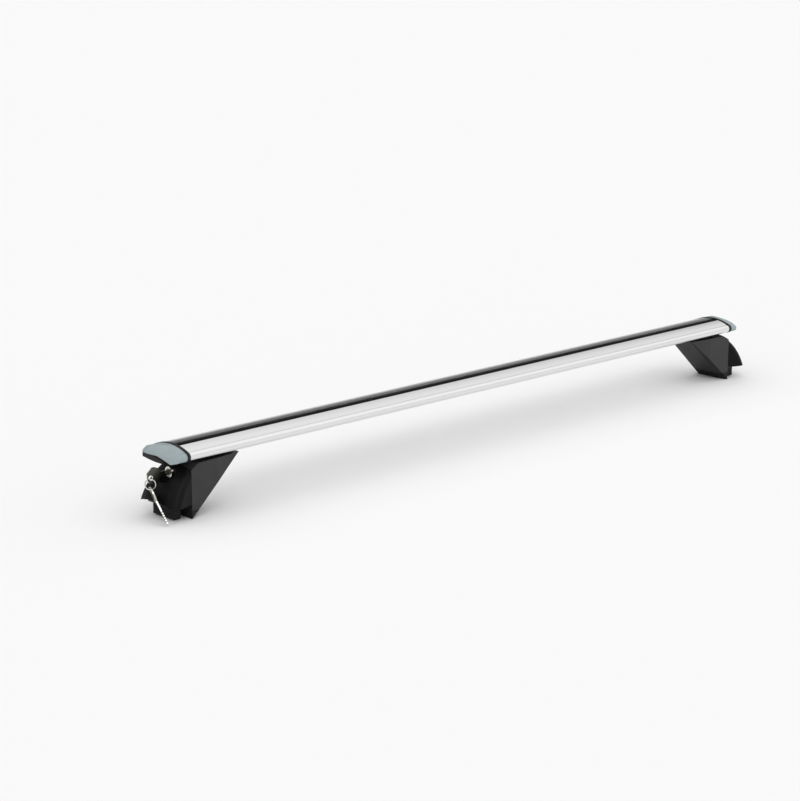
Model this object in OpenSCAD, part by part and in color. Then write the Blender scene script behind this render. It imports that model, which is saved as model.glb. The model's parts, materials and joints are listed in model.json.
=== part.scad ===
// Roof rack crossbar: an aluminium wing profile on two lockable feet.
// X runs along the bar, -Y is its leading edge and Z is up.
// The origin is the centre of the whole part on the surface that it stands on.

/* [Bar] */
// Length of the aluminium profile
bar_len = 1130; // [900:2:1400]
// Width of the profile, leading edge to trailing edge
bar_w = 76; // [72:0.5:84]
// Radius of the profile's leading and trailing edges
nose_r = 6; // [5:0.25:6.5]
// Height of the profile's crown above the edge line
crown_h = 12.5; // [11.5:0.25:14]
// Depth of the profile's belly under the edge line
belly_h = 10.5; // [10:0.25:12]
// Wall of the profile
bar_wall = 2.2; // [1.8:0.1:2.4]
// How far the top slot lies in front of the middle of the profile
top_slot_fwd = 8; // [6:0.5:9]
// Width of the mouth of the top slot
top_mouth_w = 11; // [9:0.5:13]
// Width of the top slot inside
top_slot_w = 21; // [18:0.5:23]
// Height of the top slot inside
top_slot_h = 7; // [6:0.25:7.5]
// Width of the mouth of the lower slot that holds the feet
low_mouth_w = 9; // [7.5:0.25:10]
// Width of the lower slot inside
low_slot_w = 18; // [16:0.5:20]
// Height of the lower slot inside
low_slot_h = 5; // [4.5:0.25:5.5]

/* [End caps] */
// Thickness of the gasket between the profile and its cap
gasket_t = 5; // [3:0.25:6]
// How far the gasket stands proud of the profile
gasket_proud = 0.5; // [0.2:0.1:0.8]
// Length of the cap at its leading edge
cap_front_len = 13; // [10:0.5:18]
// Length of the cap at its longest place
cap_len = 28; // [24:0.5:32]
// Length of the plugs that hold the cap in the profile
cap_plug_len = 18; // [12:1:30]
// How far the end of the cap is cut back at its underside
cap_undercut = 9; // [5:0.5:12]

/* [Feet] */
// Distance from each end of the profile to the middle of the foot's bolts
foot_inset = 45; // [44:1:120]
// Offset of both feet along the bar
foot_shift = 6; // [0:0.5:8]
// Height of the underside of the profile above the ground
foot_h = 77; // [76:0.5:80]
// Reach of the foot under the bar, inwards from the middle of its bolts
gusset_reach = 42; // [38:0.5:48]
// Distance from the middle of the bolts to the outer face of the toe, where the cover begins
toe_u = 46; // [45:0.5:47]
// Thickness of the toe at the ground
toe_t = 5; // [4:0.5:7]
// Distance from the middle of the bolts to the lower corners of the cover
cover_u = 79; // [77:0.5:82]
// Height of the cover's lower edge
cover_z = 20; // [19:0.5:22]
// Width of the foot at its inner tip
tip_w = 46; // [38:1:48]
// Width of the foot at the seam between body and cover
seam_w = 64; // [60:1:66]
// Width of the foot at its outer end
end_w = 84; // [78:1:88]
// Radius of the cover's upright corners
corner_r = 9; // [6:0.5:12]
// Wall of the foot body and cover
shell_t = 2.6; // [2:0.1:3]
// Height of the rubber boot on the toe
boot_h = 12; // [10:0.5:14]
// Thickness of the rubber pad between the foot and the bar
saddle_t = 1.5; // [1:0.25:2]

/* [Clamp] */
// Width of the claw
claw_w = 44; // [38:1:46]
// Thickness of the claw
claw_t = 12; // [10:0.5:13]
// Distance from the middle of the bolts to the outer face of the claw, fully open
claw_u = 70.5; // [68:0.5:72]
// Diameter of the clamp screw
screw_d = 6; // [5:0.5:6]
// Height of the clamp screw above the ground
screw_z = 27; // [26:0.5:28]
// Length of the clamp screw under its head
screw_len = 38; // [36:1:40]
// Travel of the claw
claw_travel = 8; // [6:0.5:8]

/* [Lock and keys] */
// Distance from the underside of the profile down to the middle of the lock
lock_drop = 15.5; // [14:0.5:18]
// Diameter of the lock's housing
lock_d = 15; // [13:0.5:16]
// Diameter of the lock's plug
plug_d = 10.5; // [9:0.5:11]
// How far the lock's face lies inside the cover's face
lock_sink = 0.5; // [0:0.5:2]
// Length of the lock's housing
lock_len = 13.5; // [12:0.5:14]
// Diameter of the key's bow
bow_d = 23; // [21:0.5:23]
// Thickness of the keys
key_t = 2; // [1.6:0.1:2.4]
// Diameter of the split ring, over its wire
ring_d = 16; // [14:0.5:18]
// Thickness of the split ring's wire
ring_wire = 1.6; // [1.2:0.1:2]

/* [Fits] */
// Gap between pieces that slide on each other
slide_gap = 0.3; // [0.25:0.05:0.4]
// Radial running clearance of turning pieces
turn_gap = 0.08; // [0.05:0.01:0.1]

/* [Hidden] */
$fn = 96;
sides = ["left", "right"];
foot_nodes = ["foot_body", "foot_cover", "toe_boot", "saddle_pad", "slot_nuts", "bar_bolts",
    "claw", "claw_pad", "clamp_nut", "clamp_screw", "screw_washer", "lock_housing", "lock_plug", "lock_cam"];

eps = 0.01;
half_w = bar_w / 2;
foot_x = bar_len / 2 - foot_inset;
lock_z = foot_h - lock_drop;
end_y = half_w - nose_r;
// An arc of radius r that is tangent to both edge circles and stands h off the edge line
function arc_r(h) = (end_y * end_y + (h - nose_r) * (h - nose_r)) / (2 * (h - nose_r)) + nose_r;
crown_r = arc_r(crown_h);
belly_r = arc_r(belly_h);
bar_h = crown_h + belly_h;
edge_z = foot_h + belly_h;
top_z = foot_h + bar_h;
top_lip = bar_wall + 1.2;
// Distance from the middle of the profile to the far side of the web on the side m
function web_y(m) = bar_wall + (m > 0 ? max(top_slot_w / 2 - top_slot_fwd, low_slot_w / 2) : top_slot_fwd + top_slot_w / 2);

// Flat outline of the wing profile, inset all round; its origin is the middle of the edge line
module wing(inset = 0) {
    intersection() {
        translate([0, crown_h - crown_r]) circle(r = crown_r - inset, $fn = 360);
        translate([0, belly_r - belly_h]) circle(r = belly_r - inset, $fn = 360);
        square([2 * end_y, 4 * bar_h], center = true);
    }
    for (m = [-1, 1])
        translate([m * end_y, 0]) circle(r = nose_r - inset);
}

// Stands a flat (y, z) outline up and runs it along X from x0 to x0 + len
module along_x(x0, len) {
    translate([x0, 0, 0]) rotate([90, 0, 90]) linear_extrude(height = len) children();
}

// The profile's outline at its place in the part
module wing_at_bar(inset = 0) {
    translate([0, edge_z]) wing(inset);
}

// One of the two hollow chambers of the profile, on the side m
module chamber(inset, m) {
    intersection() {
        wing_at_bar(inset);
        translate([m > 0 ? web_y(m) + inset - bar_wall : -web_y(m) - inset + bar_wall - bar_w, foot_h])
            square([bar_w, bar_h]);
    }
}

// Channel along the crown, open through its mouth
module top_channel() {
    translate([-top_slot_fwd - top_mouth_w / 2, top_z - top_lip - eps])
        square([top_mouth_w, 3 * top_lip]);
    translate([-top_slot_fwd - top_slot_w / 2, top_z - top_lip - top_slot_h])
        square([top_slot_w, top_slot_h]);
}

// Channel under the belly, for the nuts that hold the feet
module low_channel() {
    translate([-low_mouth_w / 2, foot_h - bar_wall])
        square([low_mouth_w, 2 * bar_wall + eps]);
    translate([-low_slot_w / 2, foot_h + bar_wall])
        square([low_slot_w, low_slot_h]);
}

module bar() {
    color([0.84, 0.85, 0.86])
        along_x(-bar_len / 2 - middle_x, bar_len)
            difference() {
                wing_at_bar();
                for (m = [-1, 1])
                    chamber(bar_wall, m);
                top_channel();
                low_channel();
            }
}

// Rubber infill of the top slot: a head in the mouth on a thin foot under the lips
strip_foot_h = 1.8;
strip_sink = 1.3;
module top_strip() {
    color([0.05, 0.05, 0.05])
        along_x(-bar_len / 2 - middle_x, bar_len) {
            translate([-top_slot_fwd - top_mouth_w / 2, top_z - top_lip - strip_foot_h])
                square([top_mouth_w, top_lip + strip_foot_h - strip_sink]);
            translate([-top_slot_fwd - top_slot_w / 2 + slide_gap, top_z - top_lip - strip_foot_h])
                square([top_slot_w - 2 * slide_gap, strip_foot_h]);
        }
}

// Places what is drawn for the right end of the bar at either end
module at_end(side) {
    translate([-middle_x, 0, 0])
        mirror([side == "left" ? 1 : 0, 0, 0]) children();
}

plug_inset = bar_wall + 0.25;
plug_w = 16;
module plug_outline(m, grow = 0) {
    intersection() {
        chamber(plug_inset - grow, m);
        translate([m > 0 ? 0 : -web_y(m) - plug_w, foot_h])
            square([web_y(m) + plug_w, bar_h]);
    }
}

module cap_gasket(side) {
    color([0.06, 0.07, 0.07])
        at_end(side)
            along_x(bar_len / 2, gasket_t)
                difference() {
                    wing_at_bar(-gasket_proud);
                    for (m = [-1, 1])
                        plug_outline(m, 0.1);
                }
}

// The cap is domed: its crown falls in an arc to a thin edge all round its outer end,
// which is short at the leading edge, longest behind the middle and round at the back
cap_root = bar_len / 2 + gasket_t;
cap_peak_y = 16;
cap_tail_r = 24;
cap_lead_r = (pow(half_w + cap_peak_y, 2) + pow(cap_len - cap_front_len, 2)) / (2 * (cap_len - cap_front_len));
cap_fall_r = 27;
cap_fall_len = 22;
cap_edge_rise = 1.5;
module cap_dome(r) {
    fall_z = edge_z + cap_edge_rise - sqrt(cap_fall_r * cap_fall_r - cap_fall_len * cap_fall_len);
    translate([cap_root + cap_len - r, cap_peak_y, 0])
        rotate_extrude($fn = 180) {
            intersection() {
                translate([r - cap_fall_len, fall_z]) circle(r = cap_fall_r, $fn = 180);
                square([r, 2 * top_z]);
            }
            square([r - cap_fall_len, 2 * top_z]);
        }
}

module cap_form() {
    intersection() {
        along_x(cap_root, cap_len) wing_at_bar();
        union() {
            intersection() {
                cap_dome(cap_lead_r);
                translate([cap_root, cap_peak_y - 2 * bar_w, 0]) cube([cap_len, 2 * bar_w, 2 * top_z]);
            }
            cap_dome(cap_tail_r);
            translate([cap_root, cap_peak_y - eps, 0])
                cube([cap_len - cap_tail_r, bar_w, 2 * top_z]);
        }
    }
}

// Wedge under the cap's outer edge, drawn back by the amount given
module cap_wedge(back = 0) {
    translate([cap_root - back, 0, 0])
        rotate([90, 0, 0])
            linear_extrude(height = 2 * bar_w, center = true)
                polygon([[cap_len + 2, edge_z + cap_edge_rise], [cap_len, edge_z + cap_edge_rise],
                    [cap_len - cap_undercut, foot_h - 1], [cap_len + 2, foot_h - 1]]);
}

module end_cap(side) {
    color([0.55, 0.61, 0.63])
        at_end(side) {
            difference() {
                cap_form();
                cap_wedge(sole_t);
            }
            for (m = [-1, 1])
                along_x(bar_len / 2 - cap_plug_len, cap_plug_len + gasket_t + 1) plug_outline(m);
        }
}

// Dark sole under the overhang of the cap
sole_t = 2;
module cap_sole(side) {
    color([0.1, 0.11, 0.11])
        at_end(side)
            difference() {
                intersection() {
                    cap_form();
                    cap_wedge(sole_t);
                }
                cap_wedge();
            }
}

// Places what is drawn for a right-hand foot, with X counted from its clamp bolts
module at_foot(side) {
    translate([foot_shift - middle_x, 0, 0])
        mirror([side == "left" ? 1 : 0, 0, 0])
            translate([foot_x, 0, 0]) children();
}

// Side profile of the outer face: one arc from the bar down to the cover's lower edge
face_r = 95;
face_top_u = 29;
// Centre of the arc of radius r from p up to q, on the side of the origin
function arc_centre(p, q, r) = (p + q) / 2
    + sqrt(r * r - (q - p) * (q - p) / 4) / sqrt((q - p) * (q - p)) * [p.y - q.y, q.x - p.x];
face_c = arc_centre([cover_u, cover_z], [face_top_u, foot_h], face_r);
// The same face is an arc in plan too, swept round an upright axis
bulge = 8;
plan_r = (end_w * end_w / 4 + bulge * bulge) / (2 * bulge);
axis_u = cover_u + bulge - plan_r;
// Where the face lies on the foot's middle plane at the height z
function face_u(z) = face_c.x + bulge + sqrt(face_r * face_r - (z - face_c.y) * (z - face_c.y));

module face_form(inset = 0) {
    translate([axis_u, 0, 0])
        rotate_extrude($fn = 180)
            intersection() {
                translate([face_c.x + bulge - axis_u, face_c.y]) circle(r = face_r - inset, $fn = 360);
                square([2 * plan_r, foot_h + 1]);
            }
}

// Plan of the foot's sides: narrow at the inner tip, wide at the outer end
mid_w = (tip_w + seam_w) / 2 + 4;
flare = (end_w - seam_w) / 2 / (cover_u - toe_u);
reach_u = cover_u + bulge + 1;
module side_plan(inset = 0) {
    plan_u = [-gusset_reach - 5, 0, toe_u, reach_u];
    plan_w = [tip_w, mid_w, seam_w, end_w + 2 * flare * (reach_u - cover_u)];
    polygon(concat([for (i = [0:3]) [plan_u[i], inset - plan_w[i] / 2]],
        [for (i = [3:-1:0]) [plan_u[i], plan_w[i] / 2 - inset]]));
}

module upright(inset = 0, height = foot_h + 1) {
    linear_extrude(height = height) side_plan(inset);
}

module slab(width) {
    rotate([90, 0, 0]) linear_extrude(height = width, center = true) children();
}

// A disc on the cover's side whose rounded rim makes the corner between side and face
side_a = atan(flare);
seam_span = sqrt(pow(toe_u - axis_u, 2) + seam_w * seam_w / 4);
seam_z = face_c.y + sqrt(face_r * face_r - pow(seam_span - face_c.x - bulge + axis_u, 2));
disc_c = arc_centre([(cover_u - toe_u) / cos(side_a), cover_z], [0, seam_z], face_r);
module side_disc(inset = 0) {
    round_r = corner_r - inset;
    rim = face_r - inset;
    translate([toe_u, seam_w / 2, 0])
        rotate([0, 0, side_a])
            translate([disc_c.x, 0, disc_c.y])
                rotate([-90, 0, 0])
                    rotate_extrude($fn = 180) {
                        translate([0, -3 * end_w]) square([rim, 3 * end_w - inset - round_r]);
                        translate([0, -2 * round_r - inset]) square([rim - round_r, 2 * round_r]);
                        translate([rim - round_r, -round_r - inset]) circle(r = round_r);
                    }
}

// Side profile of the foot body: the slanted inner face runs from under the bar to the toe
foot_top = foot_h - saddle_t;
slope = foot_top / (gusset_reach + toe_u - toe_t);
function slant_u(z) = toe_u - toe_t - z / slope;
roof_t = 8;
roof_z = foot_top - roof_t;
shelf_w = seam_w - 2 * shell_t - 2;
shelf_t = 4;
shelf_z = cover_z - 2;
jaw_top = shelf_z - slide_gap;
neck_w = 16;
slant_wall = 5;
seam_gap = 0.25;
rib_t = 2.2;
rib_y = 16;

bolt_u = [-13, 13];
bolt_d = 6;
bolt_hole_d = 6.6;
bolt_head_d = 10;
bolt_head_h = 5.5;
nut_len = 16;
nut_h = low_slot_h - 2 * slide_gap - 0.6;
nut_z = foot_h + bar_wall + slide_gap;

block_u = toe_u - 8;
block_t = 8;
block_w = 18;
block_top = screw_z + 9;
clamp_nut_t = 5;
clamp_nut_w = 10;

// Takes the corner off between the slanted face and a side, from nothing at the tip to a
// broad bevel at the toe
bevel_w = 7;
function half_plan(u) = u < 0 ? (mid_w + u * (mid_w - tip_w) / (gusset_reach + 5)) / 2
    : (mid_w + u * (seam_w - mid_w) / toe_u) / 2;
module toe_bevel(m) {
    a = [slant_u(0), bevel_w - half_plan(slant_u(0)), 0];
    b = [toe_u, -half_plan(toe_u) + 0.5, 0];
    c = [-gusset_reach, 0.5 - half_plan(-gusset_reach), foot_top];
    n = cross(b - a, c - a);
    mirror([0, m > 0 ? 1 : 0, 0])
        translate(a)
            rotate([0, acos(n.z / norm(n)), atan2(n.y, n.x)])
                translate([-2 * foot_h, -2 * foot_h, 0]) cube([4 * foot_h, 4 * foot_h, foot_h]);
}

// The gusset is an open moulding: side walls, a roof under the bar, two ribs and a shelf
module foot_body(side) {
    color([0.09, 0.09, 0.09])
        at_foot(side)
            difference() {
                union() {
                    intersection() {
                        upright();
                        face_form();
                        slab(2 * end_w)
                            polygon([[slant_u(foot_top), foot_top], [slant_u(boot_h), boot_h],
                                [toe_u, boot_h], [toe_u, foot_top]]);
                        union() {
                            difference() {
                                translate([-foot_x, -end_w, 0]) cube([2 * foot_x, 2 * end_w, foot_h]);
                                intersection() {
                                    upright(shell_t);
                                    slab(2 * end_w)
                                        polygon([[slant_u(roof_z) + slant_wall, roof_z],
                                            [slant_u(shelf_z + shelf_t) + slant_wall, shelf_z + shelf_t],
                                            [toe_u + 1, shelf_z + shelf_t], [toe_u + 1, roof_z]]);
                                }
                            }
                            for (m = [-1, 1])
                                translate([-gusset_reach, m * rib_y - rib_t / 2, shelf_z])
                                    cube([gusset_reach + toe_u - 6, rib_t, foot_top - shelf_z]);
                        }
                    }
                    // Shelf over the rail, which guides the claw
                    intersection() {
                        translate([toe_u - shelf_t, -shelf_w / 2, shelf_z])
                            cube([claw_u + 3 - toe_u + shelf_t, shelf_w, shelf_t]);
                        face_form(shell_t + 1.2);
                    }
                    // Block that the clamp screw passes through
                    translate([block_u, -block_w / 2, shelf_z])
                        cube([block_t, block_w, block_top - shelf_z]);
                }
                for (m = [-1, 1])
                    toe_bevel(m);
                for (u = bolt_u)
                    translate([u, 0, roof_z - 1])
                        cylinder(d = bolt_hole_d, h = roof_t + 2);
                translate([block_u - 1, 0, screw_z])
                    rotate([0, 90, 0]) cylinder(d = screw_d + 2 * turn_gap, h = block_t + 2);
                translate([claw_u - claw_t - claw_travel - slide_gap, -neck_w / 2 - slide_gap, shelf_z - 1])
                    cube([claw_t + claw_travel + 10, neck_w + 2 * slide_gap, shelf_t + 2]);
            }
}

// Rubber boot on the toe: it stands on the ground, or hooks behind the rail
groove_n = 3;
groove_d = 1.4;
module toe_boot(side) {
    color([0.04, 0.04, 0.04])
        at_foot(side)
            difference() {
                intersection() {
                    upright();
                    slab(2 * end_w)
                        difference() {
                            polygon([[slant_u(0), 0], [slant_u(boot_h), boot_h], [toe_u, boot_h], [toe_u, 0]]);
                            for (i = [1:groove_n])
                                translate([toe_u, i * boot_h / (groove_n + 1)]) circle(d = groove_d, $fn = 24);
                        }
                }
                for (m = [-1, 1])
                    toe_bevel(m);
            }
}

// Rubber pad between the foot's roof and the belly of the bar
saddle_w = 26;
saddle_end = 20;
module saddle_pad(side) {
    color([0.03, 0.03, 0.03])
        at_foot(side)
            translate([0, 0, foot_top])
                difference() {
                    translate([-gusset_reach + 4, -saddle_w / 2, 0])
                        cube([gusset_reach - 4 + saddle_end, saddle_w, saddle_t]);
                    for (u = bolt_u)
                        translate([u, 0, -1]) cylinder(d = bolt_hole_d, h = saddle_t + 2);
                }
}

// Sliding nuts in the lower slot of the bar
module slot_nuts(side) {
    color([0.7, 0.71, 0.72])
        at_foot(side)
            for (u = bolt_u)
                translate([u, 0, nut_z])
                    difference() {
                        translate([-nut_len / 2, -low_slot_w / 2 + slide_gap, 0])
                            cube([nut_len, low_slot_w - 2 * slide_gap, nut_h]);
                        translate([0, 0, -1]) cylinder(d = bolt_d + 0.1, h = nut_h + 2);
                    }
}

module socket_head(d, h, socket) {
    difference() {
        cylinder(d = d, h = h);
        translate([0, 0, h / 2]) cylinder(d = socket, h = h, $fn = 6);
    }
}

module bar_bolts(side) {
    color([0.6, 0.61, 0.62])
        at_foot(side)
            for (u = bolt_u)
                translate([u, 0, roof_z]) {
                    mirror([0, 0, 1]) socket_head(bolt_head_d, bolt_head_h, 5.8);
                    cylinder(d = bolt_d, h = nut_z + nut_h - roof_z);
                }
}

// The claw: a ribbed jaw outside the rail, and a neck up through the shelf to the screw
jaw_foot_z = 1.5;
jaw_chamfer = 1;
jaw_ribs = 4;
jaw_groove_d = 1.6;
jaw_pitch = (jaw_top - jaw_foot_z) / (jaw_ribs + 1);
claw_top = screw_z + 8;
upright_t = 6;
module claw(side) {
    color([0.07, 0.07, 0.07])
        at_foot(side)
            difference() {
                union() {
                    slab(claw_w)
                        difference() {
                            polygon([[claw_u - claw_t, jaw_foot_z], [claw_u - claw_t, jaw_top],
                                [claw_u, jaw_top], [claw_u, jaw_foot_z + jaw_chamfer], [claw_u - jaw_chamfer, jaw_foot_z]]);
                            for (i = [1:jaw_ribs])
                                translate([claw_u, jaw_foot_z + (i + 0.5) * jaw_pitch])
                                    circle(d = jaw_groove_d, $fn = 24);
                        }
                    translate([claw_u - upright_t, -neck_w / 2, jaw_top - 1])
                        cube([upright_t, neck_w, claw_top - jaw_top + 1]);
                }
                translate([claw_u - claw_t, 0, screw_z])
                    rotate([0, 90, 0]) cylinder(d = screw_d + 2 * turn_gap, h = 2 * claw_t);
            }
}

// Rubber face of the claw, ridged along its length
pad_t = 2;
pad_edge = 2;
module claw_pad(side) {
    color([0.04, 0.04, 0.04])
        at_foot(side)
            slab(claw_w - 2 * pad_edge)
                difference() {
                    translate([claw_u - claw_t - pad_t, jaw_foot_z + 1])
                        square([pad_t, jaw_top - jaw_foot_z - 2]);
                    for (i = [1:jaw_ribs])
                        translate([claw_u - claw_t - pad_t, jaw_foot_z + i * jaw_pitch])
                            circle(d = jaw_groove_d, $fn = 24);
                }
}

module clamp_nut(side) {
    color([0.7, 0.71, 0.72])
        at_foot(side)
            translate([block_u - clamp_nut_t, 0, screw_z])
                rotate([0, 90, 0])
                    difference() {
                        translate([-clamp_nut_w / 2, -clamp_nut_w / 2, 0])
                            cube([clamp_nut_w, clamp_nut_w, clamp_nut_t]);
                        translate([0, 0, -1]) cylinder(d = screw_d + 2 * turn_gap, h = clamp_nut_t + 2);
                    }
}

washer_t = 1.2;
washer_d = 12;
screw_head_h = 5;
module screw_washer(side) {
    color([0.72, 0.73, 0.74])
        at_foot(side)
            translate([claw_u, 0, screw_z])
                rotate([0, 90, 0])
                    difference() {
                        cylinder(d = washer_d, h = washer_t);
                        translate([0, 0, -1]) cylinder(d = screw_d + 2 * turn_gap, h = washer_t + 2);
                    }
}

module clamp_screw(side) {
    color([0.66, 0.67, 0.68])
        at_foot(side)
            translate([claw_u + washer_t, 0, screw_z])
                rotate([0, 90, 0]) {
                    socket_head(bolt_head_d, screw_head_h, 5.8);
                    translate([0, 0, -screw_len]) cylinder(d = screw_d, h = screw_len);
                }
}

// The cover is a thin moulding, round in plan and in side view, with a scoop round the lock
scoop_r = 14.5;
scoop_out = 5;
scoop_u = face_u(lock_z) + scoop_out;
lock_u = round(2 * (face_u(lock_z) - lock_sink)) / 2;
boss_u = lock_u - 5;
boss_d = lock_d + 2 * shell_t;
cover_top = foot_top;
arch_h = 6;
arch_half = 36;
arch_r = (arch_half * arch_half + arch_h * arch_h) / (2 * arch_h);
housing_gap = 0.1;
module cover_blank(inset, z0, z1) {
    intersection() {
        face_form(inset);
        side_disc(inset);
        mirror([0, 1, 0]) side_disc(inset);
        translate([toe_u + seam_gap - inset, -end_w, z0])
            cube([2 * cover_u, 2 * end_w, z1 - z0]);
    }
}

module foot_cover(side) {
    color([0.07, 0.07, 0.07])
        at_foot(side)
            difference() {
                union() {
                    difference() {
                        cover_blank(0, cover_z, cover_top);
                        difference() {
                            cover_blank(shell_t, cover_z - 1, cover_top - shell_t);
                            translate([scoop_u, 0, lock_z]) sphere(r = scoop_r + shell_t);
                        }
                    }
                    // Boss that the lock's housing sits in
                    translate([lock_u - lock_len, 0, lock_z])
                        rotate([0, 90, 0]) cylinder(d = boss_d, h = boss_u - lock_u + lock_len);
                }
                difference() {
                    translate([scoop_u, 0, lock_z]) sphere(r = scoop_r);
                    translate([0, 0, lock_z]) rotate([0, 90, 0]) cylinder(d = boss_d, h = boss_u);
                }
                translate([lock_u - lock_len - 1, 0, lock_z])
                    rotate([0, 90, 0]) cylinder(d = lock_d + 2 * housing_gap, h = cover_u);
                // The lower edge is arched over the claw
                translate([toe_u, 0, cover_z + arch_h - arch_r])
                    rotate([0, 90, 0]) cylinder(r = arch_r, h = cover_u, $fn = 180);
            }
}

module lock_housing(side) {
    color([0.75, 0.75, 0.74])
        at_foot(side)
            translate([lock_u - lock_len, 0, lock_z])
                rotate([0, 90, 0])
                    difference() {
                        cylinder(d = lock_d, h = lock_len);
                        translate([0, 0, -1]) cylinder(d = plug_d + 2 * turn_gap, h = lock_len + 2);
                    }
}

// The keyway is open at the face, and upright when the lock is open
keyway_h = 7.6;
keyway_gap = 0.2;
plug_sink = 0.5;
module lock_plug(side) {
    color([0.7, 0.69, 0.66])
        at_foot(side)
            difference() {
                translate([lock_u - lock_len, 0, lock_z])
                    rotate([0, 90, 0]) cylinder(d = plug_d, h = lock_len - plug_sink);
                translate([lock_u - lock_len + 2, -key_t / 2 - keyway_gap, lock_z - keyway_h / 2])
                    cube([lock_len, key_t + 2 * keyway_gap, keyway_h]);
            }
}

cam_t = 2;
cam_len = 17;
cam_w = 8;
module lock_cam(side) {
    color([0.62, 0.62, 0.6])
        at_foot(side)
            translate([lock_u - lock_len - cam_t, 0, lock_z])
                rotate([0, 90, 0]) {
                    cylinder(d = cam_w, h = cam_t);
                    translate([0, -cam_w / 2, 0]) cube([cam_len - cam_w / 2, cam_w, cam_t]);
                    translate([cam_len - cam_w / 2, 0, 0]) cylinder(d = cam_w, h = cam_t);
                }
}

// A flat key in the (x, z) plane: its shoulder is at the origin, its blade runs to -x
// and its bow's hole is at the bow's outer edge, turned down by the angle given
blade_len = 9;
blade_h = 7;
neck_len = 15;
bow_hole_d = 7.5;
bow_hole_r = bow_d / 2 - bow_hole_d / 2 - 1.6;
module flat_key(hole_angle, blade = blade_len, notches = 3) {
    rotate([90, 0, 0])
        linear_extrude(height = key_t, center = true)
            difference() {
                union() {
                    translate([-blade, -blade_h / 2]) square([blade + neck_len, blade_h]);
                    translate([neck_len - 2 + bow_d / 2, 0]) circle(d = bow_d);
                }
                translate([neck_len - 2 + bow_d / 2, 0])
                    rotate(-hole_angle) translate([bow_hole_r, 0]) circle(d = bow_hole_d);
                for (i = [1:notches])
                    translate([-blade + i * blade / (notches + 1), -blade_h / 2]) circle(r = 1 + 0.2 * (i % 2), $fn = 4);
            }
}

key_hole_angle = 22;
bow_u = lock_u + neck_len - 2 + bow_d / 2;
hole_u = bow_u + bow_hole_r * cos(key_hole_angle);
hole_z = lock_z - bow_hole_r * sin(key_hole_angle);
module key() {
    color([0.78, 0.77, 0.7])
        at_foot("left")
            translate([lock_u, 0, lock_z]) flat_key(key_hole_angle);
}

// The ring hangs in the bow's hole, turned half way between the bar and its leading edge
wire_r = ring_wire / 2;
ring_mid_r = ring_d / 2 - wire_r;
hang_gap = 1.3;
ring_top_z = hole_z - bow_hole_d / 2 + wire_r + hang_gap;
ring_z = ring_top_z - ring_mid_r;
ring_turn = 45;
module key_ring() {
    color([0.8, 0.8, 0.8])
        at_foot("left")
            translate([hole_u, 0, ring_z])
                rotate([0, 0, ring_turn])
                    rotate([90, 0, 0])
                        rotate_extrude() translate([ring_mid_r, 0]) circle(r = wire_r, $fn = 32);
}

// The second key hangs from the ring and leans forward, with its tip near the ground
spare_lean = 42;
spare_turn = 60;
spare_len = 52;
spare_blade = spare_len - neck_len + 2 - bow_d / 2 - bow_hole_r;
module spare_key() {
    color([0.8, 0.8, 0.78])
        at_foot("left")
            translate([hole_u, 0, ring_z - ring_mid_r])
                rotate([-spare_lean, 0, 0])
                    rotate([0, 0, -spare_turn])
                        translate([0, 0, -bow_hole_d / 2 + wire_r + hang_gap])
                            rotate([0, -90, 0])
                                translate([-(neck_len - 2 + bow_d / 2 + bow_hole_r), 0, 0])
                                    flat_key(0, spare_blade, 5);
}

// The part reaches from the spare key's bow to the middle of the right-hand cover
spare_out = hole_u + bow_d / 2 * cos(spare_turn) + key_t / 2 * sin(spare_turn);
middle_x = foot_shift + round(50 * (face_u(cover_z + arch_h) - spare_out)) / 100;

bar();
top_strip();
for (s = sides) {
    end_cap(s);
    cap_sole(s);
    cap_gasket(s);
    foot_body(s);
    foot_cover(s);
    toe_boot(s);
    saddle_pad(s);
    slot_nuts(s);
    bar_bolts(s);
    claw(s);
    claw_pad(s);
    clamp_nut(s);
    clamp_screw(s);
    screw_washer(s);
    lock_housing(s);
    lock_plug(s);
    lock_cam(s);
}
key();
key_ring();
spare_key();
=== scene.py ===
import json
import math

import bpy
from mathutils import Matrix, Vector

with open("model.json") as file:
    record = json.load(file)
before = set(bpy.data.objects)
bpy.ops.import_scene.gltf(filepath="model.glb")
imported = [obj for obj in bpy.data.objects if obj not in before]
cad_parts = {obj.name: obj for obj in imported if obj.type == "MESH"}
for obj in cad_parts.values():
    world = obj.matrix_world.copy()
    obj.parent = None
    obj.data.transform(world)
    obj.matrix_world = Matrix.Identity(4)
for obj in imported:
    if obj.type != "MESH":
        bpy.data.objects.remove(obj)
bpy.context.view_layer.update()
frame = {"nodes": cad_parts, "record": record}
print("frame loaded:", len(frame["nodes"]), "nodes")

# Camera, first, at the photograph's angle

viewpoint = {
    "place": (-2.2859, -2.268, 0.890),
    "azimuth": 43.28,  # degrees from +Y towards +X
    "elevation": 14.49,  # degrees that it looks down
    "lens": 99.28,
    "sensor": 36.0,
    "nearest": 0.05,
    "farthest": 200.0,
}


def placeCamera(s):
    data = bpy.data.cameras.new("camera")
    data.lens = s["lens"]
    data.sensor_width = s["sensor"]
    data.sensor_fit = "AUTO"
    data.clip_start = s["nearest"]
    data.clip_end = s["farthest"]
    camera = bpy.data.objects.new("camera", data)
    bpy.context.scene.collection.objects.link(camera)
    az, el = math.radians(s["azimuth"]), math.radians(s["elevation"])
    forward = Vector((math.sin(az) * math.cos(el), math.cos(az) * math.cos(el), -math.sin(el)))
    camera.rotation_euler = forward.to_track_quat("-Z", "Y").to_euler()
    camera.location = s["place"]
    bpy.context.scene.camera = camera


placeCamera(viewpoint)
print("camera placed")

# Node helpers


def emptyTree(tree):
    for n in list(tree.nodes):
        tree.nodes.remove(n)


def addNode(tree, kind, x, y, **values):
    n = tree.nodes.new(kind)
    n.location = (x, y)
    for k, v in values.items():
        setattr(n, k, v)
    return n


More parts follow.
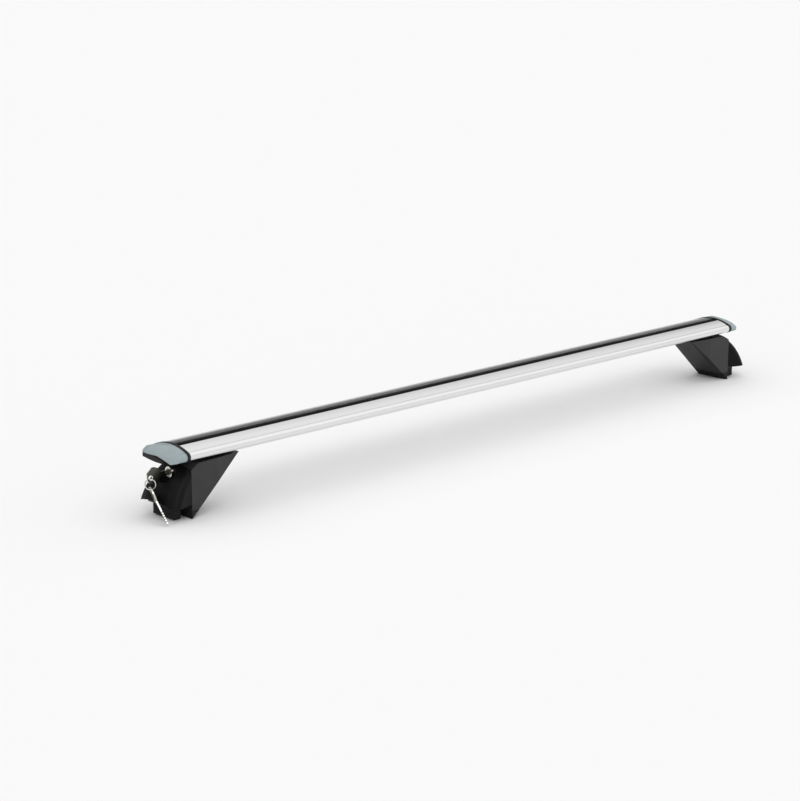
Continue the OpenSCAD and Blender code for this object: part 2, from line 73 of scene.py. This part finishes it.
def addSpan(tree, source, x, y, span, **values):
    # Map Range from the span's first value to its second
    n = addNode(tree, "ShaderNodeMapRange", x, y, **values)
    n.inputs["From Min"].default_value = span[0]
    n.inputs["From Max"].default_value = span[1]
    tree.links.new(source, n.inputs["Value"])
    return n


def newGroup(name, inputs, outputs):
    g = bpy.data.node_groups.new(name, "ShaderNodeTree")
    for label, kind, value in inputs:
        s = g.interface.new_socket(name=label, in_out="INPUT", socket_type=kind)
        s.default_value = value
    for label, kind in outputs:
        g.interface.new_socket(name=label, in_out="OUTPUT", socket_type=kind)
    return g


# Shared effects

grainField = {
    "scale": 400.0,  # the sockets' own value; each material sets its three scales
    "detail": 4.0,
    "roughness": 0.55,
    "span": (0.25, 0.75),  # the part of the noise that fills the output
}


def grainGroup(f):
    # A fine uneven field in object space, stretched by three scales, plain and as a level
    g = newGroup(
        "surfaceGrain",
        [("Scale X", "NodeSocketFloat", f["scale"]),
         ("Scale Y", "NodeSocketFloat", f["scale"]),
         ("Scale Z", "NodeSocketFloat", f["scale"]),
         ("Detail", "NodeSocketFloat", f["detail"]),
         ("Low", "NodeSocketFloat", 0.0),
         ("High", "NodeSocketFloat", 1.0)],
        [("Field", "NodeSocketFloat"), ("Level", "NodeSocketFloat")])
    gi = addNode(g, "NodeGroupInput", -800, 0)
    go = addNode(g, "NodeGroupOutput", 400, 0)
    coord = addNode(g, "ShaderNodeTexCoord", -800, 300)
    scale = addNode(g, "ShaderNodeCombineXYZ", -600, -100)
    for axis in ("X", "Y", "Z"):
        g.links.new(gi.outputs["Scale " + axis], scale.inputs[axis])
    times = addNode(g, "ShaderNodeVectorMath", -400, 100, operation="MULTIPLY")
    g.links.new(coord.outputs["Object"], times.inputs[0])
    g.links.new(scale.outputs[0], times.inputs[1])
    noise = addNode(g, "ShaderNodeTexNoise", -200, 100)
    noise.inputs["Scale"].default_value = 1.0
    noise.inputs["Roughness"].default_value = f["roughness"]
    g.links.new(times.outputs[0], noise.inputs["Vector"])
    g.links.new(gi.outputs["Detail"], noise.inputs["Detail"])
    span = addSpan(g, noise.outputs["Fac"], 100, 0, f["span"])
    g.links.new(gi.outputs["Low"], span.inputs["To Min"])
    g.links.new(gi.outputs["High"], span.inputs["To Max"])
    g.links.new(noise.outputs["Fac"], go.inputs["Field"])
    g.links.new(span.outputs["Result"], go.inputs["Level"])
    return g


dustField = {
    "clean": (0.02, 0.02, 0.02, 1.0),
    "dust": (0.3, 0.3, 0.3, 1.0),
    "amount": 0.05,
    "facing": (0.1, 1.0),  # how far a face looks up before it gathers dust, and gathers most
    "scale": 90.0,
    "detail": 5.0,
}


def dustGroup(f):
    # A thin pale film on faces that look up, broken by a slow field
    g = newGroup(
        "settledDust",
        [("Clean", "NodeSocketColor", f["clean"]),
         ("Dust", "NodeSocketColor", f["dust"]),
         ("Amount", "NodeSocketFloat", f["amount"])],
        [("Color", "NodeSocketColor"), ("Mask", "NodeSocketFloat")])
    gi = addNode(g, "NodeGroupInput", -800, 0)
    go = addNode(g, "NodeGroupOutput", 500, 0)
    geo = addNode(g, "ShaderNodeNewGeometry", -800, 300)
    split = addNode(g, "ShaderNodeSeparateXYZ", -600, 300)
    g.links.new(geo.outputs["Normal"], split.inputs[0])
    up = addSpan(g, split.outputs["Z"], -400, 300, f["facing"])
    coord = addNode(g, "ShaderNodeTexCoord", -800, 600)
    noise = addNode(g, "ShaderNodeTexNoise", -400, 600)
    noise.inputs["Scale"].default_value = f["scale"]
    noise.inputs["Detail"].default_value = f["detail"]
    g.links.new(coord.outputs["Object"], noise.inputs["Vector"])
    patch = addNode(g, "ShaderNodeMath", -150, 400, operation="MULTIPLY")
    g.links.new(up.outputs["Result"], patch.inputs[0])
    g.links.new(noise.outputs["Fac"], patch.inputs[1])
    mask = addNode(g, "ShaderNodeMath", 50, 300, operation="MULTIPLY", use_clamp=True)
    g.links.new(patch.outputs[0], mask.inputs[0])
    g.links.new(gi.outputs["Amount"], mask.inputs[1])
    mix = addNode(g, "ShaderNodeMix", 250, 100, data_type="RGBA")
    g.links.new(mask.outputs[0], mix.inputs["Factor"])
    g.links.new(gi.outputs["Clean"], mix.inputs["A"])
    g.links.new(gi.outputs["Dust"], mix.inputs["B"])
    g.links.new(mix.outputs["Result"], go.inputs["Color"])
    g.links.new(mask.outputs[0], go.inputs["Mask"])
    return g


surfaceGrain = grainGroup(grainField)
settledDust = dustGroup(dustField)
print("shared effects built")

# Materials


def newMaterial(name):
    m = bpy.data.materials.new(name)
    m.use_nodes = True
    emptyTree(m.node_tree)
    out = addNode(m.node_tree, "ShaderNodeOutputMaterial", 900, 0)
    shader = addNode(m.node_tree, "ShaderNodeBsdfPrincipled", 600, 0)
    m.node_tree.links.new(shader.outputs[0], out.inputs["Surface"])
    return m, m.node_tree, shader


def stretched(x, y, z, low=0.0, high=1.0):
    # Grain settings: scales along X, Y and Z, and the levels that it runs between
    return {"scale": (x, y, z), "low": low, "high": high}


def even(scale, low=0.0, high=1.0):
    return stretched(scale, scale, scale, low, high)


def addGrain(t, s, x, y):
    g = addNode(t, "ShaderNodeGroup", x, y, node_tree=surfaceGrain)
    for axis, v in zip("XYZ", s["scale"]):
        g.inputs["Scale " + axis].default_value = v
    g.inputs["Low"].default_value = s["low"]
    g.inputs["High"].default_value = s["high"]
    return g


def mixColours(t, factor, a, b, x, y):
    n = addNode(t, "ShaderNodeMix", x, y, data_type="RGBA")
    t.links.new(factor, n.inputs["Factor"])
    n.inputs["A"].default_value = (*a, 1.0)
    n.inputs["B"].default_value = (*b, 1.0)
    return n


roundingSamples = 6


def addBump(t, height, shader, s, x, y):
    # Fine relief, on edges that are softened over the radius "rounding" where it is given
    b = addNode(t, "ShaderNodeBump", x, y)
    b.inputs["Strength"].default_value = s["bump"]
    b.inputs["Distance"].default_value = s["depth"]
    t.links.new(height, b.inputs["Height"])
    if "rounding" in s:
        edge = addNode(t, "ShaderNodeBevel", x - 200, y - 200, samples=roundingSamples)
        edge.inputs["Radius"].default_value = s["rounding"]
        t.links.new(edge.outputs["Normal"], b.inputs["Normal"])
    t.links.new(b.outputs["Normal"], shader.inputs["Normal"])


barFinish = {
    "dark": (0.77, 0.775, 0.775), "light": (0.79, 0.795, 0.785),
    "bump": 0.008, "depth": 0.0001,
    "tone": stretched(4.0, 160.0, 160.0),
    "sheen": stretched(6.0, 900.0, 900.0, 0.19, 0.24),
}


def satinAluminium(s):
    # Anodised extrusion: die lines run along the bar, in tone, in gloss and as a faint relief
    m, t, shader = newMaterial("satinAluminium")
    tone = addGrain(t, s["tone"], -300, 200)
    mix = mixColours(t, tone.outputs["Level"], s["dark"], s["light"], 0, 200)
    t.links.new(mix.outputs["Result"], shader.inputs["Base Color"])
    sheen = addGrain(t, s["sheen"], -300, -100)
    t.links.new(sheen.outputs["Level"], shader.inputs["Roughness"])
    addBump(t, sheen.outputs["Field"], shader, s, 300, -300)
    shader.inputs["Metallic"].default_value = 1.0
    return m


plastics = {
    # foot bodies
    "blackPlastic": {
        "dark": (0.011, 0.011, 0.0115), "light": (0.017, 0.017, 0.0175),
        "dust": (0.30, 0.30, 0.30), "dustAmount": 0.04,
        "specular": 0.46, "bump": 0.25, "depth": 0.00025, "rounding": 0.0008,
        "tone": even(35.0), "gloss": even(60.0, 0.38, 0.48), "grain": even(2600.0)},
    # foot covers and the soles of the end caps
    "coverPlastic": {
        "dark": (0.004, 0.004, 0.0045), "light": (0.006, 0.006, 0.0065),
        "dust": (0.25, 0.25, 0.25), "dustAmount": 0.012,
        "specular": 0.09, "bump": 0.2, "depth": 0.00025, "rounding": 0.0008,
        "tone": even(35.0), "gloss": even(60.0, 0.34, 0.44), "grain": even(2600.0)},
    "clawPlastic": {
        "dark": (0.005, 0.005, 0.0055), "light": (0.010, 0.010, 0.0105),
        "dust": (0.30, 0.30, 0.30), "dustAmount": 0.03,
        "specular": 0.2, "bump": 0.3, "depth": 0.0003, "rounding": 0.0006,
        "tone": even(50.0), "gloss": even(80.0, 0.5, 0.62), "grain": even(2200.0)},
    "capPlastic": {
        "dark": (0.27, 0.325, 0.34), "light": (0.31, 0.365, 0.38),
        "dust": (0.6, 0.62, 0.62), "dustAmount": 0.04,
        "specular": 0.5, "bump": 0.12, "depth": 0.0002, "rounding": 0.0008,
        "tone": even(30.0), "gloss": even(70.0, 0.3, 0.4), "grain": even(2800.0)},
    # gaskets, boots and pads
    "blackRubber": {
        "dark": (0.009, 0.010, 0.010), "light": (0.016, 0.017, 0.017),
        "dust": (0.28, 0.28, 0.27), "dustAmount": 0.05,
        "specular": 0.22, "bump": 0.2, "depth": 0.0003, "rounding": 0.0004,
        "tone": even(60.0), "gloss": even(90.0, 0.6, 0.78), "grain": even(1800.0)},
    "stripRubber": {
        "dark": (0.002, 0.002, 0.002), "light": (0.004, 0.004, 0.004),
        "dust": (0.28, 0.28, 0.27), "dustAmount": 0.008,
        "specular": 0.04, "bump": 0.2, "depth": 0.0003, "rounding": 0.0004,
        "tone": stretched(12.0, 120.0, 120.0), "gloss": even(90.0, 0.6, 0.78),
        "grain": even(1800.0)},
}
# painted shade: faces that look down keep only part of their reflection
paintedUndersideShade = {
    "facing": (-0.55, -0.05),  # from faces that look down to faces that stand upright
    "share": 0.35,  # of the specular level that is left underneath
}


def mouldedPlastic(name, s, u):
    # Spark-eroded moulding: fine grain, uneven gloss and dust on top, with a painted shade underneath,
    # where the specular level drops on faces that look down
    m, t, shader = newMaterial(name)
    tone = addGrain(t, s["tone"], -600, 200)
    mix = mixColours(t, tone.outputs["Level"], s["dark"], s["light"], -300, 200)
    dust = addNode(t, "ShaderNodeGroup", 0, 200, node_tree=settledDust)
    t.links.new(mix.outputs["Result"], dust.inputs["Clean"])
    dust.inputs["Dust"].default_value = (*s["dust"], 1.0)
    dust.inputs["Amount"].default_value = s["dustAmount"]
    t.links.new(dust.outputs["Color"], shader.inputs["Base Color"])
    gloss = addGrain(t, s["gloss"], -300, -100)
    t.links.new(gloss.outputs["Level"], shader.inputs["Roughness"])
    grain = addGrain(t, s["grain"], -300, -400)
    addBump(t, grain.outputs["Field"], shader, s, 300, -400)
    # painted shade: the specular level falls on faces that look down
    coord = addNode(t, "ShaderNodeTexCoord", -600, -700)
    split = addNode(t, "ShaderNodeSeparateXYZ", -400, -700)
    t.links.new(coord.outputs["Normal"], split.inputs[0])
    lower = addSpan(t, split.outputs["Z"], -100, -700, u["facing"])
    lower.inputs["To Min"].default_value = s["specular"] * u["share"]
    lower.inputs["To Max"].default_value = s["specular"]
    t.links.new(lower.outputs["Result"], shader.inputs["Specular IOR Level"])
    return m


metals = {
    # the ring and the lock housings
    "nickelPlate": {
        "dark": (0.66, 0.64, 0.59), "light": (0.76, 0.74, 0.70),
        "bump": 0.04, "depth": 0.0001,
        "tone": even(120.0), "marks": stretched(300.0, 500.0, 160.0, 0.2, 0.28)},
    # keys: the dark colour on their flat faces is a painted dark reflection; the first key's nickel is
    # set brighter than the ring's as a painted highlight along its rim
    "keyNickel": {
        "dark": (0.84, 0.83, 0.79), "light": (0.90, 0.89, 0.86),
        "bump": 0.03, "depth": 0.0001,
        "face": (0.0, 1.0, 0.0), "faceColour": (0.10, 0.10, 0.085),
        "tone": even(120.0), "marks": stretched(300.0, 500.0, 160.0, 0.2, 0.28)},
    "spareNickel": {
        "dark": (0.60, 0.59, 0.56), "light": (0.70, 0.69, 0.66),
        "bump": 0.03, "depth": 0.0001,
        "face": (-0.866, 0.372, -0.335), "faceColour": (0.12, 0.12, 0.10),
        "tone": even(120.0), "marks": stretched(200.0, 300.0, 160.0, 0.2, 0.28)},
    # lock plugs
    "lockNickel": {
        "dark": (0.30, 0.30, 0.29), "light": (0.38, 0.38, 0.36),
        "bump": 0.05, "depth": 0.0001,
        "tone": even(160.0), "marks": stretched(400.0, 500.0, 400.0, 0.3, 0.4)},
    # bolts, nuts, screws, washers and lock cams
    "zincPlate": {
        "dark": (0.50, 0.51, 0.52), "light": (0.62, 0.63, 0.63),
        "bump": 0.06, "depth": 0.0001,
        "tone": even(220.0), "marks": stretched(700.0, 1500.0, 1500.0, 0.26, 0.4)},
}
paintedFaceShadeSpan = (0.75, 0.97)  # how squarely a face looks along the key's face direction before it takes the painted shade, a dark colour standing in for the dark reflection on a key's flat faces


def platedMetal(name, s, facing):
    # Bright plating: slight tone change and handling marks; a key's flat faces get a painted shade, a
    # dark colour standing in for their dark reflection, against the brighter rim
    m, t, shader = newMaterial(name)
    tone = addGrain(t, s["tone"], -300, 200)
    colour = mixColours(t, tone.outputs["Level"], s["dark"], s["light"], 0, 200)
    # painted shade: a key's flat faces are mixed to a dark colour in place of the dark reflection they
    # show
    if "face" in s:
        rim = colour
        coord = addNode(t, "ShaderNodeTexCoord", -600, 600)
        along = addNode(t, "ShaderNodeVectorMath", -400, 600, operation="DOT_PRODUCT")
        along.inputs[1].default_value = s["face"]
        t.links.new(coord.outputs["Normal"], along.inputs[0])
        size = addNode(t, "ShaderNodeMath", -200, 600, operation="ABSOLUTE")
        t.links.new(along.outputs["Value"], size.inputs[0])
        mask = addSpan(t, size.outputs[0], 0, 600, facing)
        colour = addNode(t, "ShaderNodeMix", 300, 300, data_type="RGBA")
        t.links.new(mask.outputs["Result"], colour.inputs["Factor"])
        t.links.new(rim.outputs["Result"], colour.inputs["A"])
        colour.inputs["B"].default_value = (*s["faceColour"], 1.0)
    t.links.new(colour.outputs["Result"], shader.inputs["Base Color"])
    marks = addGrain(t, s["marks"], -300, -100)
    t.links.new(marks.outputs["Level"], shader.inputs["Roughness"])
    addBump(t, marks.outputs["Field"], shader, s, 300, -300)
    shader.inputs["Metallic"].default_value = 1.0
    return m


finishes = {"satinAluminium": satinAluminium(barFinish)}
for finishName, settings in plastics.items():
    finishes[finishName] = mouldedPlastic(finishName, settings, paintedUndersideShade)
for finishName, settings in metals.items():
    finishes[finishName] = platedMetal(finishName, settings, paintedFaceShadeSpan)
print("materials built:", len(finishes))

slotFinish = {
    "satin_aluminium": "satinAluminium", "black_plastic": "blackPlastic",
    "claw_plastic": "clawPlastic", "cap_plastic": "capPlastic",
    "black_rubber": "blackRubber", "nickel": "nickelPlate", "zinc_steel": "zincPlate",
}
# Nodes whose finish differs from the rest of their slot
nodeFinish = {
    "left_foot_cover": "coverPlastic", "right_foot_cover": "coverPlastic",
    "left_cap_sole": "coverPlastic", "right_cap_sole": "coverPlastic",
    "left_lock_plug": "lockNickel", "right_lock_plug": "lockNickel",
    "key": "keyNickel", "spare_key": "spareNickel", "top_strip": "stripRubber",
}
nodeSlot = {p["node"]: p["material_slot"] for p in frame["record"]["subparts"]}


def dressNodes():
    for name, o in frame["nodes"].items():
        finish = finishes[nodeFinish.get(name, slotFinish[nodeSlot[name]])]
        if not o.material_slots:
            o.data.materials.append(finish)
        for s in o.material_slots:
            s.material = finish


dressNodes()
print("finishes on", len(frame["nodes"]), "nodes")

# Floor and light

studio = {
    "floor": (0.925, 0.925, 0.925),
    "floorSize": 160.0,
    "floorDrop": 0.0002,  # keeps the floor clear of the soles
    "floorGrain": even(0.6),
    # light by the sine of its height above the horizon, in front of the bar and behind it
    "front": [(0.0, 0.86), (0.15, 0.88), (0.45, 0.97), (0.66, 1.12), (0.8, 1.1), (1.0, 0.95)],
    "back": [(0.0, 0.5), (0.12, 0.3), (0.2, 0.02), (0.34, 0.02), (0.43, 0.75), (0.66, 1.0),
             (1.0, 0.97)],
    "turn": (0.0, 0.5),  # the front's light gives way to the back's over these values of Y
    "sun": {"from": (-0.55, -0.65, 0.75), "angle": 24.0, "strength": 0.4},
}


def greyRamp(t, stops, x, y):
    n = addNode(t, "ShaderNodeValToRGB", x, y)
    e = n.color_ramp.elements
    while len(e) < len(stops):
        e.new(0.5)
    for element, (place, level) in zip(e, stops):
        element.position = place
        element.color = (level, level, level, 1.0)
    return n


def lightWorld(s):
    world = bpy.data.worlds.new("studio")
    bpy.context.scene.world = world
    world.use_nodes = True
    t = world.node_tree
    emptyTree(t)
    out = addNode(t, "ShaderNodeOutputWorld", 600, 0)
    light = addNode(t, "ShaderNodeBackground", 400, 0)
    light.inputs["Strength"].default_value = 1.0
    t.links.new(light.outputs[0], out.inputs["Surface"])
    coord = addNode(t, "ShaderNodeTexCoord", -800, 0)
    split = addNode(t, "ShaderNodeSeparateXYZ", -600, 0)
    t.links.new(coord.outputs["Generated"], split.inputs[0])
    behind = addSpan(t, split.outputs["Y"], -300, 250, s["turn"],
                     interpolation_type="SMOOTHSTEP")
    mix = addNode(t, "ShaderNodeMix", 100, 0, data_type="RGBA")
    t.links.new(behind.outputs["Result"], mix.inputs["Factor"])
    for socket, name, y in (("A", "front", 0), ("B", "back", -300)):
        ramp = greyRamp(t, s[name], -300, y)
        t.links.new(split.outputs["Z"], ramp.inputs["Fac"])
        t.links.new(ramp.outputs["Color"], mix.inputs[socket])
    t.links.new(mix.outputs["Result"], light.inputs["Color"])


def layFloor(s):
    bpy.ops.mesh.primitive_plane_add(size=s["floorSize"], location=(0.0, 0.0, -s["floorDrop"]))
    floor = bpy.context.object
    floor.name = "floor"
    m, t, shader = newMaterial("paleFloor")
    field = addGrain(t, s["floorGrain"], -300, 0)
    tint = mixColours(t, field.outputs["Level"], s["floor"], s["floor"], 0, 0)
    t.links.new(tint.outputs["Result"], shader.inputs["Base Color"])
    shader.inputs["Roughness"].default_value = 1.0
    shader.inputs["Specular IOR Level"].default_value = 0.0
    floor.data.materials.append(m)


def hangSun(lamp):
    data = bpy.data.lights.new("sun", "SUN")
    data.angle = math.radians(lamp["angle"])
    data.energy = lamp["strength"]
    o = bpy.data.objects.new("sun", data)
    bpy.context.scene.collection.objects.link(o)
    o.location = lamp["from"]
    o.rotation_euler = (-Vector(lamp["from"])).to_track_quat("-Z", "Y").to_euler()


bpy.context.scene.view_settings.view_transform = "Standard"
lightWorld(studio)
layFloor(studio)
hangSun(studio["sun"])
print("studio lit")
